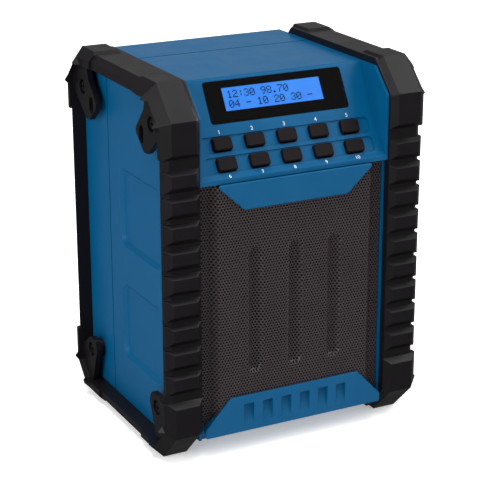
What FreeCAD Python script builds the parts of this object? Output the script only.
# Jobsite radio: blue two-part housing held between two black bumper frames.
# Millimetres, +Z up, the front faces -Y, origin in the middle of the base on the ground.
import FreeCAD, Part
import math
import os

from FreeCAD import Placement, Rotation, Vector

# Overall size, between the outermost faces of the bumper frames
DEPTH = 141.5
HEIGHT = 220.4
FRONT = -DEPTH / 2
REAR = DEPTH / 2

# Bumper frames: a moulded ring of chamfered section, thicker at its four corners
RING_INNER_X = 60.0
RING_SIDE_X = 82.0
GUARD_SIDE_X = 83.2
BOSS_SIDE_X = 86.0
RING_SET_BACK = 3.75
RAIL_DROP = 1.4
OPENING_EDGE_Y = 8.2
OPENING_BOTTOM_Z = 9.4
OPENING_TOP_Z = 211.0
OPENING_CHAMFER = 9.0
CORNER_CHAMFER = 18.4
SIDE_CHAMFER = 3.75
GUARD_BEVEL = 7.8
GUARD_INNER_BEVEL = 3.6
GUARD_ARM = 36.4
GUARD_END_SLOPE = 3.0
BOSS_WIDTH = 6.0
BOSS_SLOPE = 3.6

# Grip blocks on the four upright posts
BLOCK_COUNT = 9
BLOCK_PITCH = 14.76
BLOCK_FIRST_TOP_Z = 172.6
BLOCK_FACE_HEIGHT = 6.8
BLOCK_TOP_SLOPE = 2.0
BLOCK_BOTTOM_SLOPE = 3.3
BLOCK_FACE_Y = 0.6
BLOCK_FACE_X = (63.6, 78.2)

# Screw tabs in the corners of each ring, and their pan-head screws
TAB_X = (77.0, 80.5)
TAB_BOSS_R = 5.6
TAB_SCREW_Y = 22.0
TAB_SCREW_TOP_Z = 197.0
TAB_SCREW_BOTTOM_Z = 30.0
SCREW_SHANK_R = 2.0
SCREW_HEAD_R = 3.6
SCREW_HEAD_HEIGHT = 2.4
COUNTERBORE_R = 4.4
COUNTERBORE_DEPTH = 3.2

# Housing
WALL = 2.5
SIDE_WALL = 4.5
SIDE_PANEL_X = 73.5
SIDE_FIT = 0.2
CHEEK_INNER_X = 58.4
HOUSING_TOP_Z = 215.0
HOUSING_BOTTOM_Z = 10.0
HOUSING_REAR_Y = 137.6
BAFFLE_Y = 10.0
REAR_EDGE_R = 2.5
BROW_R = 1.5
LIP_R = 2.2
SEAM_Y = 99.0
REAR_BOSS_R = 4.6
REAR_SCREW_DEPTH = 2.5
REAR_BOSS_LENGTH = 18.0
SEAM_WIDTH = 1.0
SEAM_DEPTH = 0.7
POCKET_Y = (26.0, 83.4)
POCKET_Z = ((38.5, 86.0), (109.0, 157.0))
POCKET_DEPTH = 2.0
POCKET_CORNER = 8.0
POCKET_SLOPE = 2.4

# Sloped control panel: a local frame with its origin in the middle of the lower button row
PANEL_ORIGIN_Y = 10.2
PANEL_ORIGIN_Z = 172.2
PANEL_LEAN = math.radians(30.6)
PANEL_TOP = 49.7
LIP_BOTTOM_Z = 163.0
LIP_TOP_Z = 167.6
LIP_Y = 4.8
BAND_HEIGHT = 9.5
BAND_DEPTH = 0.8
BAND_HALF_WIDTH = 53.5
ROW_UP = (0.0, 11.6)

# Buttons
BUTTON_NAMES = (
    ("preset_button", "scan_button", "previous_button", "select_button", "next_button"),
    ("power_button", "mode_button", "menu_button", "volume_down_button", "volume_up_button"),
)
BUTTON_PITCH = 20.3
BUTTON_WIDTH = 11.4
BUTTON_HEIGHT = 7.4
BUTTON_CORNER = 1.4
BUTTON_PROUD = 1.9
BUTTON_GAP = 0.45
BUTTON_FLANGE = 1.2
BUTTON_RIM = 0.6
BOARD_LEVEL = -8.2
BOARD_THICKNESS = 1.6
SWITCH_SIZE = 6.0
SWITCH_HEIGHT = 2.2
PLUNGER_R = 1.6
STEM_BOTTOM = -4.7

# Display
WINDOW_HALF_WIDTH = 44.0
WINDOW_UP = (22.9, 47.7)
WINDOW_CORNER = 2.0
WINDOW_RECESS = 1.4
WINDOW_THICKNESS = 1.2
DISPLAY_CENTRE_X = -1.6
DISPLAY_WIDTH = 62.0
DISPLAY_UP = (30.0, 43.4)

# Grille: formed sheet with flanks stepped back and three upright troughs
GRILLE_FACE_Y = 4.5
GRILLE_SHEET = 1.0
GRILLE_HALF_WIDTH = 58.1
GRILLE_FLAT_X = 48.0
GRILLE_STEP_X = 52.0
GRILLE_STEP_Y = 8.9
GRILLE_Z = (14.0, 162.8)
TROUGH_X = (-25.5, 0.0, 25.5)
TROUGH_Z = (48.0, 124.0)
TROUGH_HALF_WIDTH = 4.5
TROUGH_DEPTH = 2.8

# Badge plate and vent panel, which overlap the edges of the grille
TRIM_FACE_Y = 3.0
TRIM_LIP = 1.4
TRIM_UNDERCUT = 2.0
BADGE_TOP = (50.5, 162.8)
BADGE_BOTTOM = (33.0, 147.0)
VENT_BOTTOM = (58.0, 12.6)
VENT_SHOULDER = (58.0, 18.0)
VENT_TOP = (42.0, 35.0)
VENT_SLOTS = 6
VENT_SLOT_PITCH = 12.2
VENT_SLOT_WIDTH = 6.4
VENT_SLOT_Z = (17.0, 29.7)
VENT_SLOT_DEPTH = 3.2

# Loudspeaker
SPEAKER_Z = 88.0
SPEAKER_R = 52.0
SPEAKER_OPENING_R = 46.0
SPEAKER_FLANGE = 2.0
BASKET_DEPTH = 34.0
BASKET_REAR_R = 26.0
MAGNET_R = 33.0
MAGNET_THICKNESS = 14.0
CONE_R = 39.0
COIL_R = 12.0
CONE_DEPTH = 20.0
SPEAKER_BOLT_R = 48.5

# Battery bay: four cells in two columns
CELL_R = 17.0
CELL_LENGTH = 61.0
BAY_HALF_WIDTH = 36.5
BAY_Z = (26.0, 158.0)
TRAY_WALL = 2.0
TRAY_FRONT_Y = 95.0
BAY_FRAME_Y = 130.5
DOOR_HALF_WIDTH = 41.0
DOOR_THICKNESS = 3.0
DOOR_TOP_Z = 162.0
DOOR_GAP = 0.5
LATCH_TRAVEL = 1.8
HINGE_Y = 135.6
HINGE_Z = 21.0
HINGE_R = 1.6
HINGE_PIN_R = 0.9

# Sockets
SOCKET_Z = 184.0
DC_X = -34.0
AUX_X = -16.0
DC_BORE_R = 2.8
DC_PIN_R = 1.0
AUX_BORE_R = 1.78
AUX_BORE_LENGTH = 14.0
FLAP_X = (-46.0, -6.0)
FLAP_Z = (176.5, 192.5)
FLAP_THICKNESS = 2.2
FLAP_HINGE_R = FLAP_THICKNESS / 2

# Telescopic antenna, folded down in a channel at the rear
ANTENNA_X = 54.3
ANTENNA_Y = 133.9
ELBOW_Z = 196.0
ANTENNA_TUBES = ((3.2, 2.75), (2.45, 2.0), (1.7, 1.3))
ANTENNA_ROD_R = 1.0
ANTENNA_TUBE_LENGTH = 92.0
TIP_R = 3.2
TIP_LENGTH = 6.0
ANTENNA_POST_R = 2.6
CHANNEL_LEFT_X = 46.9
CHANNEL_DEPTH = 9.5
CHANNEL_WALL = 2.0
CHANNEL_Z = (16.0, 204.5)


def depth(y):
    """A distance behind the bumpers' front face, as a coordinate."""
    return FRONT + y


def outline(points, radii=0.0):
    """Closed wire in XY through the points, each corner rounded by its own radius."""
    if not isinstance(radii, (list, tuple)):
        radii = [radii] * len(points)
    corners = [Vector(x, y, 0) for x, y in points]
    count = len(corners)
    spans = []
    for index, corner in enumerate(corners):
        radius = radii[index]
        if radius <= 0:
            spans.append((corner, None, corner))
            continue
        before = (corners[index - 1] - corner).normalize()
        after = (corners[(index + 1) % count] - corner).normalize()
        half = before.getAngle(after) / 2
        reach = radius / math.tan(half)
        middle = (before + after).normalize() * (radius / math.sin(half) - radius)
        spans.append((corner + before * reach, corner + middle, corner + after * reach))
    edges = []
    for index, (start, through, end) in enumerate(spans):
        if through is not None:
            edges.append(Part.Arc(start, through, end).toShape())
        following = spans[(index + 1) % count][0]
        if end.distanceToPoint(following) > 1e-6:
            edges.append(Part.LineSegment(end, following).toShape())
    return Part.Wire(edges)


def prism_z(points, low, high, radii=0.0):
    """Outline in XY raised from low to high."""
    face = Part.Face(outline(points, radii))
    face.translate(Vector(0, 0, low))
    return face.extrude(Vector(0, 0, high - low))


def prism_x(points, low, high, radii=0.0):
    """Outline in YZ raised along X from low to high."""
    solid = prism_z(points, low, high, radii)
    turn = Rotation(Vector(0, 1, 0), Vector(0, 0, 1), Vector(1, 0, 0), "ZXY")
    solid.Placement = Placement(Vector(0, 0, 0), turn)
    return solid


def prism_y(points, low, high, radii=0.0):
    """Outline in XZ raised along Y from low to high."""
    solid = prism_z([(x, -z) for x, z in points], low, high, radii)
    solid.Placement = Placement(Vector(0, 0, 0), Rotation(Vector(1, 0, 0), -90))
    return solid


def block(xs, ys, zs):
    """Box between pairs of low and high coordinates."""
    size = [high - low for low, high in (xs, ys, zs)]
    return Part.makeBox(size[0], size[1], size[2], Vector(xs[0], ys[0], zs[0]))


def rod(centre, direction, radius, length):
    """Cylinder from centre along direction."""
    return Part.makeCylinder(radius, length, Vector(*centre), Vector(*direction))


def mirror_x(shape):
    """The same piece on the other side of the radio."""
    return shape.mirror(Vector(0, 0, 0), Vector(1, 0, 0))


def mirror_y(shape):
    """The same form at the other end of the radio."""
    return shape.mirror(Vector(0, 0, 0), Vector(0, 1, 0))


def fuse(shapes):
    """One solid from touching shapes, without the seams between them."""
    return shapes[0].multiFuse(list(shapes[1:])).removeSplitter()


def cut(shape, tools):
    """A shape less all of the tools."""
    return shape.cut(Part.makeCompound(list(tools)))


def rounded_rectangle(low_x, high_x, low_y, high_y):
    """Corner points of an upright rectangle, for outline()."""
    return [(low_x, low_y), (high_x, low_y), (high_x, high_y), (low_x, high_y)]


def chamfered_rectangle(low, high, leg):
    """Octagon in YZ between two opposite corners, its corners cut at 45 degrees."""
    (y0, z0), (y1, z1) = low, high
    return [
        (y0 + leg, z0), (y1 - leg, z0), (y1, z0 + leg), (y1, z1 - leg),
        (y1 - leg, z1), (y0 + leg, z1), (y0, z1 - leg), (y0, z0 + leg),
    ]


def panel_place():
    """Placement of the sloped panel: local X across, Y up the slope, Z out of it."""
    turn = Rotation(Vector(1, 0, 0), 90 - math.degrees(PANEL_LEAN))
    return Placement(Vector(0, depth(PANEL_ORIGIN_Y), PANEL_ORIGIN_Z), turn)


def on_panel(shape):
    """Moves a shape drawn flat into the sloped panel."""
    placed = shape.copy()
    placed.Placement = panel_place().multiply(shape.Placement)
    return placed


def panel_point(up, out=0.0):
    """Depth behind the front and height of a point of the sloped panel."""
    y = PANEL_ORIGIN_Y + up * math.sin(PANEL_LEAN) - out * math.cos(PANEL_LEAN)
    z = PANEL_ORIGIN_Z + up * math.cos(PANEL_LEAN) + out * math.sin(PANEL_LEAN)
    return y, z


# Bumper frames

def bevelled_slab(inner_x, outer_x, grow, bevel, inner_bevel):
    """Octagonal slab the size of the whole side, with bevelled rims."""
    points = chamfered_rectangle((FRONT + grow, 0.0), (REAR - grow, HEIGHT), CORNER_CHAMFER)
    solid = prism_x(points, inner_x, outer_x)
    rim = [edge for edge in solid.Edges if edge.BoundBox.XLength < 1e-6]
    outer = [edge for edge in rim if abs(edge.BoundBox.XMax - outer_x) < 1e-6]
    solid = solid.makeChamfer(bevel, outer)
    if inner_bevel > 0:
        rim = [edge for edge in solid.Edges if edge.BoundBox.XLength < 1e-6]
        inner = [edge for edge in rim if abs(edge.BoundBox.XMax - inner_x) < 1e-6]
        solid = solid.makeChamfer(inner_bevel, inner)
    return solid


def ring_opening():
    """Opening of a bumper frame, cut right through."""
    points = chamfered_rectangle(
        (depth(OPENING_EDGE_Y), OPENING_BOTTOM_Z), (-depth(OPENING_EDGE_Y), OPENING_TOP_Z),
        OPENING_CHAMFER)
    return prism_x(points, RING_INNER_X - 5, BOSS_SIDE_X + 5)


def thin_ring():
    """Rails and posts between the corner guards."""
    points = chamfered_rectangle(
        (FRONT + RING_SET_BACK, RAIL_DROP), (REAR - RING_SET_BACK, HEIGHT - RAIL_DROP),
        CORNER_CHAMFER - 1.0)
    solid = prism_x(points, RING_INNER_X, RING_SIDE_X)
    rim = [edge for edge in solid.Edges
           if edge.BoundBox.XLength < 1e-6 and abs(edge.BoundBox.XMax - RING_SIDE_X) < 1e-6]
    return solid.makeChamfer(SIDE_CHAMFER, rim)


def guard_sectors(side_x):
    """Regions of the four corner guards, with sloping ends."""
    low_end = GUARD_ARM
    slope = GUARD_END_SLOPE
    inner = 20.0
    top = [
        (FRONT - 1, HEIGHT - low_end), (FRONT, HEIGHT - low_end),
        (FRONT + RING_SET_BACK, HEIGHT - low_end - slope), (FRONT + inner, HEIGHT - low_end - slope),
        (FRONT + low_end + slope, HEIGHT - inner), (FRONT + low_end + slope, HEIGHT - RAIL_DROP),
        (FRONT + low_end, HEIGHT), (FRONT + low_end, HEIGHT + 1), (FRONT - 1, HEIGHT + 1),
    ]
    front_top = prism_x(top, RING_INNER_X - 1, side_x)
    front_bottom = front_top.mirror(Vector(0, 0, HEIGHT / 2), Vector(0, 0, 1))
    pair = [front_top, front_bottom]
    return pair + [mirror_y(shape) for shape in pair]


def corner_bosses():
    """Raised diagonal pads on the side faces of the guards, narrower at the top."""
    inset = GUARD_BEVEL * math.sqrt(2)
    drop = CORNER_CHAMFER + inset - GUARD_BEVEL
    foot = Vector(0, FRONT + GUARD_BEVEL, HEIGHT - drop)
    head = Vector(0, FRONT + drop, HEIGHT - GUARD_BEVEL)
    along = (head - foot).normalize()
    inward = Vector(0, along.z, -along.y)
    wires = []
    for x, spread in ((RING_SIDE_X - 1, BOSS_SLOPE), (BOSS_SIDE_X, 0.0)):
        start, end = foot - along * spread, head + along * spread
        inner = inward * (BOSS_WIDTH + spread)
        outer = inward * -CORNER_CHAMFER
        corners = [start + outer, end + outer, end + inner, start + inner, start + outer]
        wires.append(Part.makePolygon([corner + Vector(x, 0, 0) for corner in corners]))
    front_top = Part.makeLoft(wires, True, True)
    front_bottom = front_top.mirror(Vector(0, 0, HEIGHT / 2), Vector(0, 0, 1))
    pair = [front_top, front_bottom]
    return pair + [mirror_y(shape) for shape in pair]


def grip_blocks():
    """Nine sloped blocks on the front post; the rear post is plain."""
    face_x0, face_x1 = BLOCK_FACE_X
    rise = RING_SET_BACK - BLOCK_FACE_Y
    back = depth(OPENING_EDGE_Y)
    section = [
        (RING_INNER_X, back), (RING_INNER_X, depth(BLOCK_FACE_Y + face_x0 - RING_INNER_X)),
        (face_x0, depth(BLOCK_FACE_Y)), (face_x1, depth(BLOCK_FACE_Y)),
        (RING_SIDE_X, depth(BLOCK_FACE_Y + RING_SIDE_X - face_x1)), (RING_SIDE_X, back),
    ]
    blocks = []
    for index in range(BLOCK_COUNT):
        top = BLOCK_FIRST_TOP_Z - index * BLOCK_PITCH
        bottom = top - BLOCK_FACE_HEIGHT
        side = [
            (back, bottom - BLOCK_BOTTOM_SLOPE), (depth(BLOCK_FACE_Y + rise), bottom - BLOCK_BOTTOM_SLOPE),
            (depth(BLOCK_FACE_Y), bottom), (depth(BLOCK_FACE_Y), top),
            (depth(BLOCK_FACE_Y + rise), top + BLOCK_TOP_SLOPE), (back, top + BLOCK_TOP_SLOPE),
        ]
        bar = prism_z(section, bottom - BLOCK_BOTTOM_SLOPE, top + BLOCK_TOP_SLOPE)
        blocks.append(bar.common(prism_x(side, RING_INNER_X, RING_SIDE_X)))
    return blocks


def tab_shapes():
    """Screw tabs that reach from the corners of a ring over the side panel."""
    top = [
        (depth(8.0), 194.0), (depth(27.0), 179.0), (depth(32.0), 179.0), (depth(41.5), 187.5),
        (depth(42.5), 190.5), (depth(31.5), 203.0), (depth(29.0), 211.5), (depth(16.0), 211.5),
        (depth(8.0), 203.0),
    ]
    bottom = [
        (depth(8.0), 20.0), (depth(14.0), 9.0), (depth(23.0), 9.0), (depth(28.0), 23.5),
        (depth(31.5), 31.5), (depth(28.5), 38.0), (depth(20.5), 38.0), (depth(8.0), 29.0),
    ]
    radii = [0, 2, 2, 1.5, 1.5, 2, 0, 0, 0]
    bottom_radii = [0, 0, 0, 4, 3, 3, 4, 0]
    upper = prism_x(top, TAB_X[0], TAB_X[1], radii)
    lower = prism_x(bottom, TAB_X[0], TAB_X[1], bottom_radii)
    slot_points = [
        (depth(32.0), 183.5), (depth(37.5), 183.5), (depth(37.5), 193.5), (depth(32.0), 193.5)]
    slot = prism_x(slot_points, TAB_X[1] - 2.5, TAB_X[1] + 1, 2.6)
    bosses = [
        rod((SIDE_PANEL_X, depth(TAB_SCREW_Y), z), (1, 0, 0), TAB_BOSS_R, TAB_X[1] - SIDE_PANEL_X)
        for z in (TAB_SCREW_TOP_Z, TAB_SCREW_BOTTOM_Z)
    ]
    corner = [upper.cut(slot), lower] + bosses
    return corner + [mirror_y(shape) for shape in corner]


def tab_screw_places():
    """Depth coordinate and height of the four screws of one ring."""
    places = []
    for y in (depth(TAB_SCREW_Y), -depth(TAB_SCREW_Y)):
        for z in (TAB_SCREW_TOP_Z, TAB_SCREW_BOTTOM_Z):
            places.append((y, z))
    return places


def right_bumper():
    """One moulded bumper frame: ring, guards, bosses, grip blocks and screw tabs."""
    slab = bevelled_slab(RING_INNER_X, BOSS_SIDE_X, 0.0, GUARD_BEVEL, GUARD_INNER_BEVEL)
    guards = [slab.common(sector) for sector in guard_sectors(GUARD_SIDE_X)]
    bosses = [slab.common(boss) for boss in corner_bosses()]
    body = fuse([thin_ring()] + guards + bosses + grip_blocks())
    body = body.cut(ring_opening())
    body = fuse([body] + tab_shapes())
    holes = []
    for y, z in tab_screw_places():
        holes.append(rod((SIDE_PANEL_X - 1, y, z), (1, 0, 0), SCREW_SHANK_R + 0.1, 10))
        holes.append(rod((TAB_X[1] - COUNTERBORE_DEPTH, y, z), (1, 0, 0), COUNTERBORE_R, 10))
    return cut(body, holes)


def pan_screw(tip, direction, length, head_r=SCREW_HEAD_R, shank_r=SCREW_SHANK_R):
    """Pan-head screw with a cross recess, drawn from under its head."""
    out = Vector(*direction)
    seat = Vector(*tip)
    shank = Part.makeCylinder(shank_r, length, seat - out * length, out)
    head = Part.makeCylinder(head_r, SCREW_HEAD_HEIGHT, seat, out)
    crown = [edge for edge in head.Edges
             if (edge.CenterOfMass - (seat + out * SCREW_HEAD_HEIGHT)).Length < 0.2
             and edge.Closed]
    head = head.makeChamfer(SCREW_HEAD_HEIGHT * 0.4, crown)
    across = out.cross(Vector(0, 0, 1) if abs(out.z) < 0.9 else Vector(1, 0, 0)).normalize()
    arm = Part.makeBox(head_r * 1.2, 0.9, 2.0, Vector(-head_r * 0.6, -0.45, -1.3))
    other = Part.makeBox(0.9, head_r * 1.2, 2.0, Vector(-0.45, -head_r * 0.6, -1.3))
    cross = arm.fuse(other)
    up = out.cross(across)
    turn = Rotation(across, up, out, "ZXY")
    cross.Placement = Placement(seat + out * SCREW_HEAD_HEIGHT, turn)
    return shank.fuse(head).cut(cross).removeSplitter()


def right_bumper_screws():
    """Four screws through the tabs into the side panels."""
    seat_x = TAB_X[1] - COUNTERBORE_DEPTH
    return [pan_screw((seat_x, y, z), (1, 0, 0), 8.0) for y, z in tab_screw_places()]


# Housing

def middle_profile(inset):
    """Side view of the housing between its cheeks, from the lip to the sloped panel."""
    up = PANEL_TOP
    front = BAFFLE_Y + inset
    slope_foot = panel_point((LIP_TOP_Z - PANEL_ORIGIN_Z) / math.cos(PANEL_LEAN), -inset)
    slope_head_z = HOUSING_TOP_Z - inset
    top_point = panel_point(up, -inset)
    rise = (slope_head_z - top_point[1]) / math.cos(PANEL_LEAN)
    head_y = top_point[0] + rise * math.sin(PANEL_LEAN)
    points = [
        (depth(front), HOUSING_BOTTOM_Z + inset), (depth(HOUSING_REAR_Y - inset), HOUSING_BOTTOM_Z + inset),
        (depth(HOUSING_REAR_Y - inset), HOUSING_TOP_Z - inset), (depth(head_y), slope_head_z),
    ]
    if inset > 0:
        return points + [(depth(slope_foot[0]), slope_foot[1]), (depth(front), LIP_BOTTOM_Z + inset)]
    return points + [
        (depth(slope_foot[0]), slope_foot[1]), (depth(LIP_Y), LIP_BOTTOM_Z + 2.6),
        (depth(LIP_Y), LIP_BOTTOM_Z), (depth(front), LIP_BOTTOM_Z),
    ]


def side_profile(inset):
    """Side view of the side panels, which fill the openings of the bumper frames."""
    low = (depth(OPENING_EDGE_Y + SIDE_FIT) + inset, OPENING_BOTTOM_Z + SIDE_FIT + inset)
    high = (-depth(OPENING_EDGE_Y + SIDE_FIT) - inset, OPENING_TOP_Z - SIDE_FIT - inset)
    return chamfered_rectangle(low, high, OPENING_CHAMFER - inset * 0.6)


def cheek_profile():
    """Side view of the cheeks that stand beside the sloped panel."""
    foot = LIP_Y + 0.4
    frame = OPENING_EDGE_Y + SIDE_FIT
    return [
        (depth(frame), HOUSING_BOTTOM_Z), (depth(HOUSING_REAR_Y), HOUSING_BOTTOM_Z),
        (depth(HOUSING_REAR_Y), HOUSING_TOP_Z), (depth(foot + 14.0), HOUSING_TOP_Z),
        (depth(foot), HOUSING_TOP_Z - 14.0), (depth(foot), LIP_BOTTOM_Z), (depth(frame), LIP_BOTTOM_Z),
    ]


def pocket(zs):
    """Recess in a side panel, its walls sloping to a flat floor."""
    def ring(x, shrink):
        points = rounded_rectangle(
            depth(POCKET_Y[0]) + shrink, depth(POCKET_Y[1]) - shrink, zs[0] + shrink, zs[1] - shrink)
        wire = outline(points, POCKET_CORNER - shrink)
        turn = Rotation(Vector(0, 1, 0), Vector(0, 0, 1), Vector(1, 0, 0), "ZXY")
        wire.Placement = Placement(Vector(x, 0, 0), turn)
        return wire
    mouth = ring(SIDE_PANEL_X, 0.0)
    above = ring(SIDE_PANEL_X + 1.0, 0.0)
    floor = ring(SIDE_PANEL_X - POCKET_DEPTH, POCKET_SLOPE)
    return [
        Part.makeLoft([floor, mouth], True, True),
        Part.makeLoft([mouth, above], True, True),
    ]


def channel_cut():
    """Open channel in the rear wall for the folded antenna, beside the bumper frame."""
    return block(
        (CHANNEL_LEFT_X, RING_INNER_X),
        (depth(HOUSING_REAR_Y - CHANNEL_DEPTH), depth(HOUSING_REAR_Y + 1)), CHANNEL_Z)


def channel_liner():
    """Walls that close the antenna channel towards the inside and the side panel."""
    back = depth(HOUSING_REAR_Y - CHANNEL_DEPTH - CHANNEL_WALL)
    heights = (CHANNEL_Z[0] - CHANNEL_WALL, HOUSING_TOP_Z - WALL)
    across = (CHANNEL_LEFT_X - CHANNEL_WALL, RING_INNER_X - 0.6)
    trough = block(across, (back, depth(HOUSING_REAR_Y)), heights)
    beside = (RING_INNER_X - 1, RING_INNER_X + CHANNEL_WALL)
    side_wall = block(beside, (back, depth(HOUSING_REAR_Y)), heights)
    return trough.fuse(side_wall.common(prism_x(side_profile(0.0), *beside)))


def housing_shell():
    """The hollow housing before it is parted at the seam."""
    rounding = [0, REAR_EDGE_R, REAR_EDGE_R, BROW_R, LIP_R, 0.8, 0, 0]
    middle = prism_x(middle_profile(0.0), -RING_INNER_X, RING_INNER_X, rounding)
    sides = []
    for low, high in ((CHEEK_INNER_X, SIDE_PANEL_X), (-SIDE_PANEL_X, -CHEEK_INNER_X)):
        sides.append(prism_x(side_profile(0.0), low, high))
    cheek_rounding = [0, REAR_EDGE_R, REAR_EDGE_R, 1.0, 1.0, 0, 0]
    cheeks = [prism_x(cheek_profile(), low, high, cheek_rounding)
              for low, high in ((CHEEK_INNER_X, RING_INNER_X), (-RING_INNER_X, -CHEEK_INNER_X))]
    outer = fuse([middle] + sides + cheeks)
    centre_half = CHEEK_INNER_X - WALL
    inner_half = SIDE_PANEL_X - SIDE_WALL
    void = prism_x(middle_profile(WALL), -centre_half, centre_half)
    wide = prism_x(middle_profile(WALL), -inner_half, inner_half)
    void = void.fuse(wide.common(prism_x(side_profile(WALL), -inner_half, inner_half)))
    return outer.cut(void)


def seam_groove():
    """Fine groove where the two halves of the housing meet."""
    low = depth(SEAM_Y) - SEAM_WIDTH / 2
    high = depth(SEAM_Y) + SEAM_WIDTH / 2
    across = (-RING_INNER_X - 1, RING_INNER_X + 1)
    tools = [block(across, (low, high), (HOUSING_TOP_Z - SEAM_DEPTH, HEIGHT))]
    for side in (-1, 1):
        xs = sorted((side * (SIDE_PANEL_X - SEAM_DEPTH), side * (SIDE_PANEL_X + 1)))
        tools.append(block(xs, (low, high), (0, HEIGHT)))
    return tools


def speaker_holes():
    """Sound opening in the baffle and the four screw holes round it."""
    tools = [rod((0, depth(BAFFLE_Y - 1), SPEAKER_Z), (0, 1, 0), SPEAKER_OPENING_R, WALL + 2)]
    for x, z in speaker_bolt_places():
        tools.append(rod((x, depth(BAFFLE_Y - 1), z), (0, 1, 0), 1.5, WALL + 2))
    return tools


def speaker_bolt_places():
    """Places of the loudspeaker's screws, on the diagonals."""
    reach = SPEAKER_BOLT_R / math.sqrt(2)
    return [(sx * reach, SPEAKER_Z + sz * reach) for sx in (-1, 1) for sz in (-1, 1)]


def panel_cuts():
    """Bands, button holes, window recess and display opening of the sloped panel."""
    tools = []
    for row, up in enumerate(ROW_UP):
        low, high = up - BAND_HEIGHT / 2, up + BAND_HEIGHT / 2
        band = rounded_rectangle(-BAND_HALF_WIDTH, BAND_HALF_WIDTH, low, high)
        tools.append(prism_z(band, -BAND_DEPTH, 3.0, 2.5))
        for column in range(len(BUTTON_NAMES[row])):
            tools.append(button_prism(column, up, BUTTON_GAP, -WALL - 1, 1.0))
    recess = rounded_rectangle(-WINDOW_HALF_WIDTH, WINDOW_HALF_WIDTH, WINDOW_UP[0], WINDOW_UP[1])
    tools.append(prism_z(recess, -WINDOW_RECESS, 3.0, WINDOW_CORNER))
    half = DISPLAY_WIDTH / 2 + 2
    light = rounded_rectangle(
        DISPLAY_CENTRE_X - half, DISPLAY_CENTRE_X + half, DISPLAY_UP[0] - 1.5, DISPLAY_UP[1] + 1.5)
    tools.append(prism_z(light, -WALL - 1, 0.0, 1.0))
    return [on_panel(tool) for tool in tools]


def button_centre(column):
    """Place across the panel of a button column."""
    return (column - 2) * BUTTON_PITCH


def button_prism(column, up, grow, low, high):
    """Rounded button shape, grown all round, between two levels of the panel."""
    x = button_centre(column)
    half_width = BUTTON_WIDTH / 2 + grow
    half_height = BUTTON_HEIGHT / 2 + grow
    points = rounded_rectangle(x - half_width, x + half_width, up - half_height, up + half_height)
    return prism_z(points, low, high, BUTTON_CORNER + grow)


def front_housing():
    """Front half: baffle, sloped panel, cheeks and the side panels up to the seam."""
    shell = housing_shell()
    front = shell.common(block((-100, 100), (FRONT - 5, depth(SEAM_Y)), (-5, HEIGHT + 5)))
    front = fuse([front] + board_posts())
    tools = seam_groove() + speaker_holes() + panel_cuts() + side_cuts() + board_post_holes()
    return cut(front, tools)


def side_cuts():
    """Side pockets and the pilot holes of the bumper screws, both sides."""
    tools = []
    for zs in POCKET_Z:
        tools += pocket(zs)
    for y, z in tab_screw_places():
        tools.append(rod((SIDE_PANEL_X - 6, y, z), (1, 0, 0), SCREW_SHANK_R, 7))
    return tools + [mirror_x(tool) for tool in tools]


def bay_opening():
    """Opening of the battery bay through the rear wall."""
    return block(
        (-BAY_HALF_WIDTH, BAY_HALF_WIDTH), (depth(BAY_FRAME_Y - 1), depth(HOUSING_REAR_Y + 1)), BAY_Z)


def door_recess():
    """Shallow recess that the battery door closes into."""
    low_z = HINGE_Z - HINGE_R - DOOR_GAP
    deep = block(
        (-DOOR_HALF_WIDTH - DOOR_GAP, DOOR_HALF_WIDTH + DOOR_GAP),
        (depth(HINGE_Y - HINGE_R - DOOR_GAP), depth(HOUSING_REAR_Y + 1)),
        (low_z, DOOR_TOP_Z + DOOR_GAP))
    return deep


def latch_slot():
    """Slot above the door that the latch slides up into."""
    y0 = depth(HINGE_Y - HINGE_R + DOOR_THICKNESS - 1.6)
    top = DOOR_TOP_Z + DOOR_GAP
    return block((-12.5, 12.5), (y0 - 0.4, y0 + 1.8), (top - 0.1, top + LATCH_TRAVEL))


def bay_frame():
    """Thickened rear wall round the battery bay."""
    return block(
        (-DOOR_HALF_WIDTH - 3, DOOR_HALF_WIDTH + 3), (depth(BAY_FRAME_Y), depth(HOUSING_REAR_Y)),
        (HINGE_Z - 6.0, DOOR_TOP_Z + 5))


def rear_screw_places():
    """Places of the six screws that hold the two halves together."""
    return [(-52.0, 16.0), (-52.0, 110.0), (-52.0, 206.0), (41.0, 206.0), (-5.0, 206.0), (40.0, 14.2)]


def rear_bosses():
    """Posts behind the rear wall that the screws run through."""
    start = depth(HOUSING_REAR_Y - REAR_BOSS_LENGTH)
    length = REAR_BOSS_LENGTH - 1.0
    return [rod((x, start, z), (0, 1, 0), REAR_BOSS_R, length) for x, z in rear_screw_places()]


def socket_recess():
    """Shallow recess under the socket flap, and the two socket holes."""
    points = rounded_rectangle(FLAP_X[0] - 0.5, FLAP_X[1] + 0.5, FLAP_Z[0] - 0.5, FLAP_Z[1] + 0.5)
    recess = prism_y(
        points, depth(HOUSING_REAR_Y - FLAP_THICKNESS - 0.4), depth(HOUSING_REAR_Y + 1), [0, 0, 1.5, 1.5])
    through = [rod((x, depth(HOUSING_REAR_Y - 8), SOCKET_Z), (0, 1, 0), 4.6, 9) for x in (DC_X, AUX_X)]
    return [recess] + through


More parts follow.
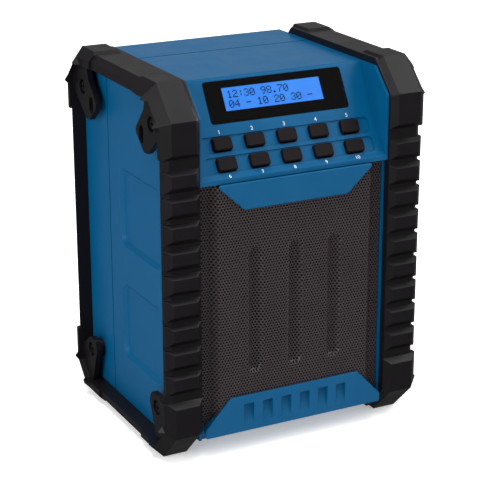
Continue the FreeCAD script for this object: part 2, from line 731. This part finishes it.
def rear_housing():
    """Rear half: battery bay, antenna channel and socket recess."""
    shell = housing_shell()
    rear = shell.common(block((-100, 100), (depth(SEAM_Y), REAR + 5), (-5, HEIGHT + 5)))
    rear = fuse([rear, bay_frame(), channel_liner()] + rear_bosses())
    tools = seam_groove() + side_cuts() + socket_recess()
    tools += [channel_cut(), bay_opening(), door_recess(), latch_slot(), antenna_seat(0.35)]
    for x, z in rear_screw_places():
        tools.append(rod((x, depth(HOUSING_REAR_Y - 20), z), (0, 1, 0), 1.6, 30))
        tools.append(rod((x, depth(HOUSING_REAR_Y - REAR_SCREW_DEPTH), z), (0, 1, 0), 3.4, 10))
    for side in (-1, 1):
        low, high = sorted((side * DOOR_HALF_WIDTH, side * (DOOR_HALF_WIDTH + 2.6)))
        tools.append(rod((low, depth(HINGE_Y), HINGE_Z), (1, 0, 0), HINGE_PIN_R + 0.06, high - low))
    return cut(rear, tools)


def rear_housing_screws():
    """Screws that draw the two halves together, sunk in the rear wall."""
    seat = depth(HOUSING_REAR_Y - REAR_SCREW_DEPTH)
    return [pan_screw((x, seat, z), (0, 1, 0), 12.0, 2.9, 1.4) for x, z in rear_screw_places()]


# Front trim

def trim_outline(points, inset):
    """Trim outline drawn in from its edges, about its own middle."""
    middle_x = sum(x for x, _ in points) / len(points)
    middle_z = sum(z for _, z in points) / len(points)
    half_width = max(abs(x - middle_x) for x, _ in points)
    half_height = max(abs(z - middle_z) for _, z in points)
    return [
        (middle_x + (x - middle_x) * (1 - inset / half_width),
         middle_z + (z - middle_z) * (1 - inset / half_height))
        for x, z in points
    ]


def badge_points():
    """Front view of the badge plate, an upside-down trapezoid."""
    return [
        (-BADGE_BOTTOM[0], BADGE_BOTTOM[1]), (BADGE_BOTTOM[0], BADGE_BOTTOM[1]),
        BADGE_TOP, (-BADGE_TOP[0], BADGE_TOP[1]),
    ]


def vent_points():
    """Front view of the vent panel, with sloping shoulders."""
    right = [VENT_BOTTOM, VENT_SHOULDER, VENT_TOP]
    return right + [(-x, z) for x, z in reversed(right)]


def trim_plate(points):
    """Plate whose lip overlaps the grille and whose body stands on the baffle."""
    lip = prism_y(points, depth(TRIM_FACE_Y), depth(TRIM_FACE_Y + TRIM_LIP), 1.2)
    edges = [edge for edge in lip.Edges
             if edge.BoundBox.YLength < 1e-6 and edge.BoundBox.YMax < depth(TRIM_FACE_Y) + 1e-6]
    lip = lip.makeChamfer(0.5, edges)
    body = prism_y(
        trim_outline(points, TRIM_UNDERCUT), depth(TRIM_FACE_Y + TRIM_LIP), depth(BAFFLE_Y))
    return lip, body


def badge_plate():
    """Blue plate above the grille, left bare."""
    lip, body = trim_plate(badge_points())
    return fuse([lip, body])


def vent_panel():
    """Blue panel below the grille with six wedge slots that run out downwards."""
    lip, body = trim_plate(vent_points())
    slots = []
    low, high = VENT_SLOT_Z
    wedge = [
        (depth(TRIM_FACE_Y - 1), high), (depth(TRIM_FACE_Y + VENT_SLOT_DEPTH), high),
        (depth(TRIM_FACE_Y), low), (depth(TRIM_FACE_Y - 1), low),
    ]
    for index in range(VENT_SLOTS):
        x = (index - (VENT_SLOTS - 1) / 2) * VENT_SLOT_PITCH
        slots.append(prism_x(wedge, x - VENT_SLOT_WIDTH / 2, x + VENT_SLOT_WIDTH / 2))
    return cut(fuse([lip, body]), slots)


def capsule(x, y, radius):
    """Upright round bar with ball ends, the form of a trough."""
    low, high = TROUGH_Z
    bottom, top = low + TROUGH_HALF_WIDTH, high - TROUGH_HALF_WIDTH
    bar = Part.makeCylinder(radius, top - bottom, Vector(x, y, bottom), Vector(0, 0, 1))
    balls = [Part.makeSphere(radius, Vector(x, y, z)) for z in (bottom, top)]
    return bar.multiFuse(balls)


def speaker_grille():
    """Formed sheet: flat field, stepped flanks and three pressed troughs."""
    face, flank = GRILLE_FACE_Y, GRILLE_STEP_Y
    front = [
        (-GRILLE_HALF_WIDTH, flank), (-GRILLE_STEP_X, flank), (-GRILLE_FLAT_X, face),
        (GRILLE_FLAT_X, face), (GRILLE_STEP_X, flank), (GRILLE_HALF_WIDTH, flank),
    ]
    back = [(x, y + GRILLE_SHEET) for x, y in reversed(front)]
    section = [(x, depth(y)) for x, y in front + back]
    sheet = prism_z(section, GRILLE_Z[0], GRILLE_Z[1])
    radius = (TROUGH_HALF_WIDTH ** 2 + TROUGH_DEPTH ** 2) / (2 * TROUGH_DEPTH)
    axis_y = depth(GRILLE_FACE_Y + TROUGH_DEPTH - radius)
    behind = block((-60, 60), (depth(GRILLE_FACE_Y + GRILLE_SHEET * 0.5), depth(BAFFLE_Y)), GRILLE_Z)
    pressed = [capsule(x, axis_y, radius + GRILLE_SHEET).common(behind) for x in TROUGH_X]
    sheet = sheet.multiFuse(pressed)
    tools = [capsule(x, axis_y, radius) for x in TROUGH_X]
    for points in (badge_points(), vent_points()):
        tools.append(prism_y(trim_outline(points, TRIM_UNDERCUT - 0.3), FRONT, depth(BAFFLE_Y + 1)))
    tools.append(block((-60, 60), (FRONT, depth(BAFFLE_Y + 1)), (0, VENT_SHOULDER[1] - 2)))
    return cut(sheet, tools).removeSplitter()


# Controls and display

def button(column, up):
    """Rubber button: domed cap, flange behind the panel and a stem to its switch."""
    cap = button_prism(column, up, 0.0, STEM_BOTTOM + 1.0, BUTTON_PROUD)
    rim = [edge for edge in cap.Edges if edge.BoundBox.ZMin > BUTTON_PROUD - 1e-6]
    cap = cap.makeChamfer(BUTTON_RIM, rim)
    x = button_centre(column)
    half_width = BUTTON_WIDTH / 2 + BUTTON_FLANGE
    half_height = BUTTON_HEIGHT / 2 - 0.3
    wings = rounded_rectangle(x - half_width, x + half_width, up - half_height, up + half_height)
    flange = prism_z(wings, STEM_BOTTOM + 0.5, -WALL - 0.4, BUTTON_CORNER)
    stem = Part.makeCylinder(2.4, 1.2, Vector(button_centre(column), up, STEM_BOTTOM))
    return on_panel(fuse([cap, flange, stem]))


def button_board():
    """Circuit board behind the buttons, held by six screws."""
    points = rounded_rectangle(-52.0, 52.0, ROW_UP[0] - 6.2, ROW_UP[1] + 6.0)
    board = prism_z(points, BOARD_LEVEL - BOARD_THICKNESS, BOARD_LEVEL, 1.5)
    holes = [Part.makeCylinder(1.3, 5, Vector(x, up, BOARD_LEVEL - 3)) for x, up in board_screw_places()]
    return on_panel(cut(board, holes))


def board_screw_places():
    """Board screws, between the button columns and the rows."""
    inner = 1.5 * BUTTON_PITCH
    outer = inner + 0.95 * BUTTON_PITCH
    return [(x, sum(ROW_UP) / 2) for x in (-outer, -inner, inner, outer)]


def board_posts():
    """Posts under the sloped panel that carry the button board."""
    posts = []
    for x, up in board_screw_places():
        post = Part.makeCylinder(2.5, -WALL + 0.5 - BOARD_LEVEL, Vector(x, up, BOARD_LEVEL))
        posts.append(on_panel(post))
    return posts


def board_post_holes():
    """Pilot holes of the board screws."""
    return [on_panel(Part.makeCylinder(1.1, 4.2, Vector(x, up, BOARD_LEVEL - 0.1)))
            for x, up in board_screw_places()]


def button_board_screws():
    """Self-tapping screws that hold the button board from behind."""
    screws = []
    for x, up in board_screw_places():
        head = Part.makeCylinder(2.2, 1.4, Vector(x, up, BOARD_LEVEL - BOARD_THICKNESS - 1.4))
        shank = Part.makeCylinder(1.1, 5.6, Vector(x, up, BOARD_LEVEL - BOARD_THICKNESS))
        screws.append(on_panel(head.fuse(shank)))
    return screws


def button_switches():
    """Ten tact switches, one under each button."""
    switches = []
    for up in ROW_UP:
        for column in range(5):
            x = button_centre(column)
            half = SWITCH_SIZE / 2
            can = Part.makeBox(SWITCH_SIZE, SWITCH_SIZE, SWITCH_HEIGHT - 0.6,
                               Vector(x - half, up - half, BOARD_LEVEL))
            plunger = Part.makeCylinder(PLUNGER_R, SWITCH_HEIGHT, Vector(x, up, BOARD_LEVEL))
            switches.append(on_panel(can.fuse(plunger)))
    return switches


def display_window():
    """Clear plate let into the sloped panel."""
    points = rounded_rectangle(
        -WINDOW_HALF_WIDTH + 0.1, WINDOW_HALF_WIDTH - 0.1, WINDOW_UP[0] + 0.1, WINDOW_UP[1] - 0.1)
    plate = prism_z(points, -WINDOW_RECESS, -WINDOW_RECESS + WINDOW_THICKNESS, WINDOW_CORNER)
    return on_panel(plate)


def display_module():
    """Character display: glass in a bezel on its own board."""
    middle = DISPLAY_CENTRE_X
    low, high = DISPLAY_UP
    board = Part.makeBox(78, high - low + 7, 1.6, Vector(middle - 39, low - 4, -8.6))
    bezel = Part.makeBox(70, high - low + 4, 4.2, Vector(middle - 35, low - 2, -7.0))
    glass = Part.makeBox(DISPLAY_WIDTH + 2, high - low + 1.6, 1.0, Vector(middle - 32, low - 0.8, -2.8))
    return on_panel(fuse([board, bezel, glass]))


# Loudspeaker

def speaker_section(points):
    """Round piece about the loudspeaker's axis from (radius, depth) points."""
    wire = Part.makePolygon([Vector(r, depth(y), 0) for r, y in points + points[:1]])
    solid = Part.Face(wire).revolve(Vector(0, 0, 0), Vector(0, 1, 0), 360)
    solid.translate(Vector(0, 0, SPEAKER_Z))
    return solid


def speaker_basket():
    """Pressed steel basket with a flange, spokes and a seat for the magnet."""
    y0 = BAFFLE_Y + WALL + 1.0
    y1 = y0 + BASKET_DEPTH
    points = [
        (SPEAKER_R - 7, y0), (SPEAKER_R, y0), (SPEAKER_R, y0 + SPEAKER_FLANGE),
        (SPEAKER_R - 6, y0 + SPEAKER_FLANGE), (BASKET_REAR_R + 4, y1 - 2), (BASKET_REAR_R + 4, y1),
        (COIL_R + 3, y1), (COIL_R + 3, y1 - 1.6), (BASKET_REAR_R + 2, y1 - 1.6),
        (SPEAKER_R - 8, y0 + 2.4), (SPEAKER_R - 8, y0 + 0.6),
    ]
    basket = speaker_section(points)
    windows = []
    for index in range(4):
        window = block((-9.0, 9.0), (depth(y0 + 6), depth(y1 - 6)), (BASKET_REAR_R, SPEAKER_R + 5))
        window.rotate(Vector(0, 0, 0), Vector(0, 1, 0), 90.0 * index)
        window.translate(Vector(0, 0, SPEAKER_Z))
        windows.append(window)
    holes = [rod((x, depth(y0 - 1), z), (0, 1, 0), 1.6, 5) for x, z in speaker_bolt_places()]
    return cut(basket, windows + holes)


def speaker_gasket():
    """Foam ring between the baffle and the loudspeaker."""
    y0 = BAFFLE_Y + WALL
    ring = speaker_section([(46.2, y0), (SPEAKER_R, y0), (SPEAKER_R, y0 + 1.0), (46.2, y0 + 1.0)])
    holes = [rod((x, depth(y0 - 1), z), (0, 1, 0), 1.6, 5) for x, z in speaker_bolt_places()]
    return cut(ring, holes)


def speaker_magnet():
    """Ring magnet between two steel plates."""
    y1 = BAFFLE_Y + WALL + 1.0 + BASKET_DEPTH
    return speaker_section([
        (0, y1), (BASKET_REAR_R, y1), (BASKET_REAR_R, y1 + 2), (MAGNET_R, y1 + 2),
        (MAGNET_R, y1 + 2 + MAGNET_THICKNESS), (BASKET_REAR_R + 2, y1 + 2 + MAGNET_THICKNESS),
        (BASKET_REAR_R + 2, y1 + 4 + MAGNET_THICKNESS), (0, y1 + 4 + MAGNET_THICKNESS),
    ])


def speaker_cone():
    """Paper cone, a thin tapered shell."""
    y0 = BAFFLE_Y + WALL + 2.6
    return speaker_section([
        (CONE_R, y0), (CONE_R, y0 + 0.8), (COIL_R, y0 + CONE_DEPTH + 0.8), (COIL_R, y0 + CONE_DEPTH)])


def speaker_surround():
    """Half-round rubber surround between cone and basket."""
    y0 = BAFFLE_Y + WALL + 2.6
    outer_r = SPEAKER_R - 8.0
    half = (outer_r - CONE_R) / 2
    middle = CONE_R + half
    left, right = Vector(CONE_R, depth(y0), 0), Vector(outer_r, depth(y0), 0)
    crest = Vector(middle, depth(y0) - half, 0)
    inner_crest = Vector(middle, depth(y0) - half + 0.8, 0)
    left_in, right_in = Vector(CONE_R, depth(y0) + 0.8, 0), Vector(outer_r, depth(y0) + 0.8, 0)
    edges = [
        Part.Arc(left, crest, right).toShape(), Part.LineSegment(right, right_in).toShape(),
        Part.Arc(right_in, inner_crest, left_in).toShape(), Part.LineSegment(left_in, left).toShape(),
    ]
    solid = Part.Face(Part.Wire(edges)).revolve(Vector(0, 0, 0), Vector(0, 1, 0), 360)
    solid.translate(Vector(0, 0, SPEAKER_Z))
    return solid


def speaker_dust_cap():
    """Domed cap over the voice coil."""
    base_y = depth(BAFFLE_Y + WALL + 2.6 + CONE_DEPTH)
    rim = COIL_R - 0.1
    rise = 4.5
    radius = (rim ** 2 + rise ** 2) / (2 * rise)
    ball = Part.makeSphere(radius, Vector(0, base_y - rise + radius, SPEAKER_Z))
    zone = rod((0, base_y - rise - 1, SPEAKER_Z), (0, 1, 0), rim + 1, rise + 1)
    return ball.common(zone)


def speaker_screws():
    """Four screws through the basket's flange into the baffle."""
    seat = depth(BAFFLE_Y + WALL + 1.0 + SPEAKER_FLANGE)
    screws = []
    for x, z in speaker_bolt_places():
        head = rod((x, seat, z), (0, 1, 0), 2.6, 1.8)
        screws.append(head.fuse(rod((x, seat - 4.8, z), (0, 1, 0), 1.4, 4.8)))
    return screws


# Electronics

def main_board():
    """Main circuit board, upright behind the loudspeaker."""
    return block((-50, 50), (depth(74.0), depth(75.6)), (24, 150))


def tuner_module():
    """Screened tuner on the main board."""
    can = block((-20, 12), (depth(75.6), depth(80.6)), (108, 140))
    rim = [edge for edge in can.Edges if edge.BoundBox.YMin > depth(80.6) - 1e-6]
    return can.makeChamfer(0.8, rim)


def heat_sink():
    """Finned heat sink of the amplifier."""
    base = block((16, 46), (depth(75.6), depth(78.0)), (40, 70))
    fins = [block((16 + step * 4.8, 17.6 + step * 4.8), (depth(78.0), depth(86.0)), (40, 70))
            for step in range(6)]
    return fuse([base] + fins)


# Battery bay and door

def battery_tray():
    """Open tray for the four cells, moulded with a rib between the columns."""
    outer = block(
        (-BAY_HALF_WIDTH - TRAY_WALL, BAY_HALF_WIDTH + TRAY_WALL),
        (depth(TRAY_FRONT_Y), depth(BAY_FRAME_Y)), (BAY_Z[0] - TRAY_WALL, BAY_Z[1] + TRAY_WALL))
    inner = block(
        (-BAY_HALF_WIDTH, BAY_HALF_WIDTH), (depth(TRAY_FRONT_Y + TRAY_WALL), depth(131.0)), BAY_Z)
    rib = block((-1.0, 1.0), (depth(TRAY_FRONT_Y + TRAY_WALL), depth(112.0)), (BAY_Z[0], BAY_Z[1]))
    return fuse([outer.cut(inner), rib])


def cell_places():
    """Lower ends of the four cells."""
    middle_z = (BAY_Z[0] + BAY_Z[1]) / 2
    shifts = (-CELL_LENGTH - 0.2, 0.2)
    return [(side * (CELL_R + 1.1), middle_z + shift) for side in (-1, 1) for shift in shifts]


def battery_cells():
    """Four round cells with raised positive poles."""
    cells = []
    y = depth(TRAY_FRONT_Y + TRAY_WALL + CELL_R + 0.1)
    for x, z in cell_places():
        body = Part.makeCylinder(CELL_R - 0.2, CELL_LENGTH - 1.4, Vector(x, y, z))
        pole = Part.makeCylinder(4.5, CELL_LENGTH, Vector(x, y, z))
        cells.append(body.fuse(pole))
    return cells


def battery_contacts():
    """Contact plates at both ends of the bay, with conical springs below."""
    y = depth(TRAY_FRONT_Y + TRAY_WALL + CELL_R + 0.1)
    pieces = []
    spring_height = (BAY_Z[1] - BAY_Z[0]) / 2 - CELL_LENGTH - 0.2 - 0.5
    for side in (-1, 1):
        x = side * (CELL_R + 1.1)
        low = block((x - 10, x + 10), (y - 10, y + 10), (BAY_Z[0], BAY_Z[0] + 0.5))
        cone = Part.makeCone(7.0, 4.0, spring_height, Vector(x, y, BAY_Z[0] + 0.5))
        hollow = Part.makeCone(6.0, 3.0, spring_height, Vector(x, y, BAY_Z[0] + 0.5))
        pieces.append(low.fuse(cone.cut(hollow)))
        pieces.append(block((x - 10, x + 10), (y - 10, y + 10), (BAY_Z[1] - 0.5, BAY_Z[1])))
    return pieces


def battery_door():
    """Door over the battery bay, with a rolled lower edge that turns on its pin."""
    y0, y1 = depth(HINGE_Y - HINGE_R), depth(HINGE_Y - HINGE_R + DOOR_THICKNESS)
    plate = block((-DOOR_HALF_WIDTH, DOOR_HALF_WIDTH), (y0, y1), (HINGE_Z, DOOR_TOP_Z))
    corners = [edge for edge in plate.Edges
               if edge.BoundBox.YLength > 1 and edge.BoundBox.ZMin > DOOR_TOP_Z - 1]
    plate = plate.makeFillet(3.0, corners)
    barrel = rod((-DOOR_HALF_WIDTH, depth(HINGE_Y), HINGE_Z), (1, 0, 0), HINGE_R, 2 * DOOR_HALF_WIDTH)
    ribs = []
    for index in range(5):
        z = 40.0 + index * 20.0
        groove = rounded_rectangle(-30.0, 30.0, z, z + 3.0)
        ribs.append(prism_y(groove, y1 - 0.8, y1 + 1, 1.4))
    latch_bed = block((-12.4, 12.4), (y1 - 1.6, y1 + 1), (DOOR_TOP_Z - 17.0, DOOR_TOP_Z + 1))
    pin_hole = rod((-DOOR_HALF_WIDTH - 1, depth(HINGE_Y), HINGE_Z), (1, 0, 0), HINGE_PIN_R, 90)
    return cut(fuse([plate, barrel]), ribs + [latch_bed, pin_hole])


def door_hinge_pin():
    """Steel pin through the rolled edge of the door."""
    half = DOOR_HALF_WIDTH + 2.2
    return rod((-half, depth(HINGE_Y), HINGE_Z), (1, 0, 0), HINGE_PIN_R, 2 * half)


def door_latch():
    """Sliding latch in the top of the battery door, with finger ribs."""
    y0 = depth(HINGE_Y - HINGE_R + DOOR_THICKNESS - 1.6)
    slide = block((-12.0, 12.0), (y0, y0 + 1.4), (DOOR_TOP_Z - 12.0, DOOR_TOP_Z + 0.2))
    ribs = [block((-9.0, 9.0), (y0 + 1.4, y0 + 2.2), (z, z + 1.0))
            for z in (DOOR_TOP_Z - 10.0, DOOR_TOP_Z - 7.6, DOOR_TOP_Z - 5.2)]
    return fuse([slide] + ribs)


# Sockets

def dc_socket():
    """Power inlet with its centre pin."""
    y1 = depth(HOUSING_REAR_Y - FLAP_THICKNESS - 0.6)
    body = rod((DC_X, y1 - 13, SOCKET_Z), (0, 1, 0), 4.5, 13)
    bore = rod((DC_X, y1 - 10, SOCKET_Z), (0, 1, 0), DC_BORE_R, 11)
    pin = rod((DC_X, y1 - 10.5, SOCKET_Z), (0, 1, 0), DC_PIN_R, 9.5)
    return body.cut(bore).fuse(pin)


def aux_socket():
    """3.5 mm audio socket."""
    y1 = depth(HOUSING_REAR_Y - FLAP_THICKNESS - 0.6)
    body = rod((AUX_X, y1 - AUX_BORE_LENGTH - 1, SOCKET_Z), (0, 1, 0), 4.5, AUX_BORE_LENGTH + 1)
    bore = rod((AUX_X, y1 - AUX_BORE_LENGTH, SOCKET_Z), (0, 1, 0), AUX_BORE_R, AUX_BORE_LENGTH + 1)
    return body.cut(bore)


def socket_flap():
    """Rubber flap over both sockets, round along its hinge edge and with a finger lip."""
    y1 = depth(HOUSING_REAR_Y)
    low = FLAP_Z[0] + FLAP_HINGE_R
    plate = prism_y(
        rounded_rectangle(FLAP_X[0], FLAP_X[1], low, FLAP_Z[1]), y1 - FLAP_THICKNESS, y1,
        [0, 0, 1.2, 1.2])
    hinge_edge = rod((FLAP_X[0], y1 - FLAP_HINGE_R, low), (1, 0, 0), FLAP_HINGE_R, FLAP_X[1] - FLAP_X[0])
    lip = block((-30.0, -22.0), (y1 - 0.2, y1 + 1.2), (FLAP_Z[1] - 2.0, FLAP_Z[1] - 0.6))
    return fuse([plate, hinge_edge, lip])


# Antenna

def antenna_seat(grow):
    """Space of the antenna's base in the rear wall, grown by a clearance."""
    return rod((ANTENNA_X, depth(ANTENNA_Y), ELBOW_Z + 5.5), (0, 0, 1), ANTENNA_POST_R + grow, 9.5)


def antenna_base():
    """Swivelling base with the fork of the elbow."""
    y = depth(ANTENNA_Y)
    post = rod((ANTENNA_X, y, ELBOW_Z + 4.2), (0, 0, 1), ANTENNA_POST_R, 10.2)
    fork = block((ANTENNA_X - 3.1, ANTENNA_X + 3.1), (y - 3.0, y + 3.0), (ELBOW_Z - 2.6, ELBOW_Z + 5.0))
    slot = block((ANTENNA_X - 1.6, ANTENNA_X + 1.6), (y - 4, y + 4), (ELBOW_Z - 4.0, ELBOW_Z + 3.4))
    eye = rod((ANTENNA_X - 4, y, ELBOW_Z), (1, 0, 0), 0.9, 8)
    return fuse([post, fork.cut(slot)]).cut(eye)


def antenna_elbow_pin():
    """Pin of the antenna's elbow."""
    return rod((ANTENNA_X - 3.1, depth(ANTENNA_Y), ELBOW_Z), (1, 0, 0), 0.9, 6.2)


def antenna_mast():
    """Outer tube with the flat tongue of the elbow."""
    y = depth(ANTENNA_Y)
    outer, bore = ANTENNA_TUBES[0]
    bottom = ELBOW_Z - ANTENNA_TUBE_LENGTH
    tongue_end = ELBOW_Z - 6.5
    tongue = block((ANTENNA_X - 1.3, ANTENNA_X + 1.3), (y - 2.4, y + 2.4), (tongue_end - 1, ELBOW_Z))
    eye_round = rod((ANTENNA_X - 1.3, y, ELBOW_Z), (1, 0, 0), 2.4, 2.6)
    tube = rod((ANTENNA_X, y, bottom), (0, 0, 1), outer, tongue_end - bottom)
    hole = rod((ANTENNA_X, y, bottom - 1), (0, 0, 1), bore, tongue_end - bottom - 2)
    eye = rod((ANTENNA_X - 2, y, ELBOW_Z), (1, 0, 0), 0.96, 4)
    return fuse([tongue, eye_round, tube]).cut(hole).cut(eye)


def antenna_section(index):
    """Inner tube of the telescope, its lower end level with the outer tube."""
    outer, bore = ANTENNA_TUBES[index]
    top = ELBOW_Z - 10.0 - 3.0 * index
    bottom = ELBOW_Z - ANTENNA_TUBE_LENGTH - 1.2 * index
    tube = rod((ANTENNA_X, depth(ANTENNA_Y), bottom), (0, 0, 1), outer, top - bottom)
    hole = rod((ANTENNA_X, depth(ANTENNA_Y), bottom - 1), (0, 0, 1), bore, top - bottom - 1)
    return tube.cut(hole)


def antenna_rod():
    """Innermost rod of the telescope."""
    last = len(ANTENNA_TUBES)
    top = ELBOW_Z - 10.0 - 3.0 * last
    bottom = ELBOW_Z - ANTENNA_TUBE_LENGTH - 1.2 * last
    return rod((ANTENNA_X, depth(ANTENNA_Y), bottom), (0, 0, 1), ANTENNA_ROD_R, top - bottom)


def antenna_tip():
    """Round cap on the end of the rod."""
    top = ELBOW_Z - ANTENNA_TUBE_LENGTH - 1.2 * len(ANTENNA_TUBES)
    cap = rod((ANTENNA_X, depth(ANTENNA_Y), top - TIP_LENGTH), (0, 0, 1), TIP_R, TIP_LENGTH)
    ends = [edge for edge in cap.Edges if edge.Closed]
    return cap.makeFillet(0.9, ends)


def write(name, pieces):
    """Writes one node, as a group where it holds several solids."""
    if not isinstance(pieces, list):
        pieces = [pieces]
    solids = [solid for piece in pieces for solid in piece.Solids]
    shape = solids[0] if len(solids) == 1 else Part.makeCompound(solids)
    if not shape.isValid():
        print("invalid", name)
    shape.exportStep("parts/" + name + ".step")
    print(name, len(solids), round(shape.Volume))


def write_buttons():
    """Writes the ten buttons, each as its own node."""
    for row, up in enumerate(ROW_UP):
        for column, name in enumerate(BUTTON_NAMES[row]):
            write(name, button(column, up))


def main():
    """Builds every piece of the radio."""
    os.makedirs("parts", exist_ok=True)
    bumper = right_bumper()
    write("right_bumper", bumper)
    write("left_bumper", mirror_x(bumper))
    screws = right_bumper_screws()
    write("right_bumper_screws", screws)
    write("left_bumper_screws", [mirror_x(screw) for screw in screws])
    write("front_housing", front_housing())
    write("rear_housing", rear_housing())
    write("rear_housing_screws", rear_housing_screws())
    write("badge_plate", badge_plate())
    write("vent_panel", vent_panel())
    write("speaker_grille", speaker_grille())
    write_buttons()
    write("button_board", button_board())
    write("button_board_screws", button_board_screws())
    write("button_switches", button_switches())
    write("display_window", display_window())
    write("display_module", display_module())
    write("speaker_basket", speaker_basket())
    write("speaker_gasket", speaker_gasket())
    write("speaker_magnet", speaker_magnet())
    write("speaker_cone", speaker_cone())
    write("speaker_surround", speaker_surround())
    write("speaker_dust_cap", speaker_dust_cap())
    write("speaker_screws", speaker_screws())
    write("main_board", main_board())
    write("tuner_module", tuner_module())
    write("heat_sink", heat_sink())
    write("battery_tray", battery_tray())
    write("battery_cells", battery_cells())
    write("battery_contacts", battery_contacts())
    write("battery_door", battery_door())
    write("door_hinge_pin", door_hinge_pin())
    write("door_latch", door_latch())
    write("dc_socket", dc_socket())
    write("aux_socket", aux_socket())
    write("socket_flap", socket_flap())
    write("antenna_base", antenna_base())
    write("antenna_elbow_pin", antenna_elbow_pin())
    write("antenna_mast", antenna_mast())
    write("antenna_section_2", antenna_section(1))
    write("antenna_section_3", antenna_section(2))
    write("antenna_rod", antenna_rod())
    write("antenna_tip", antenna_tip())


if __name__ == "__main__":
    main()
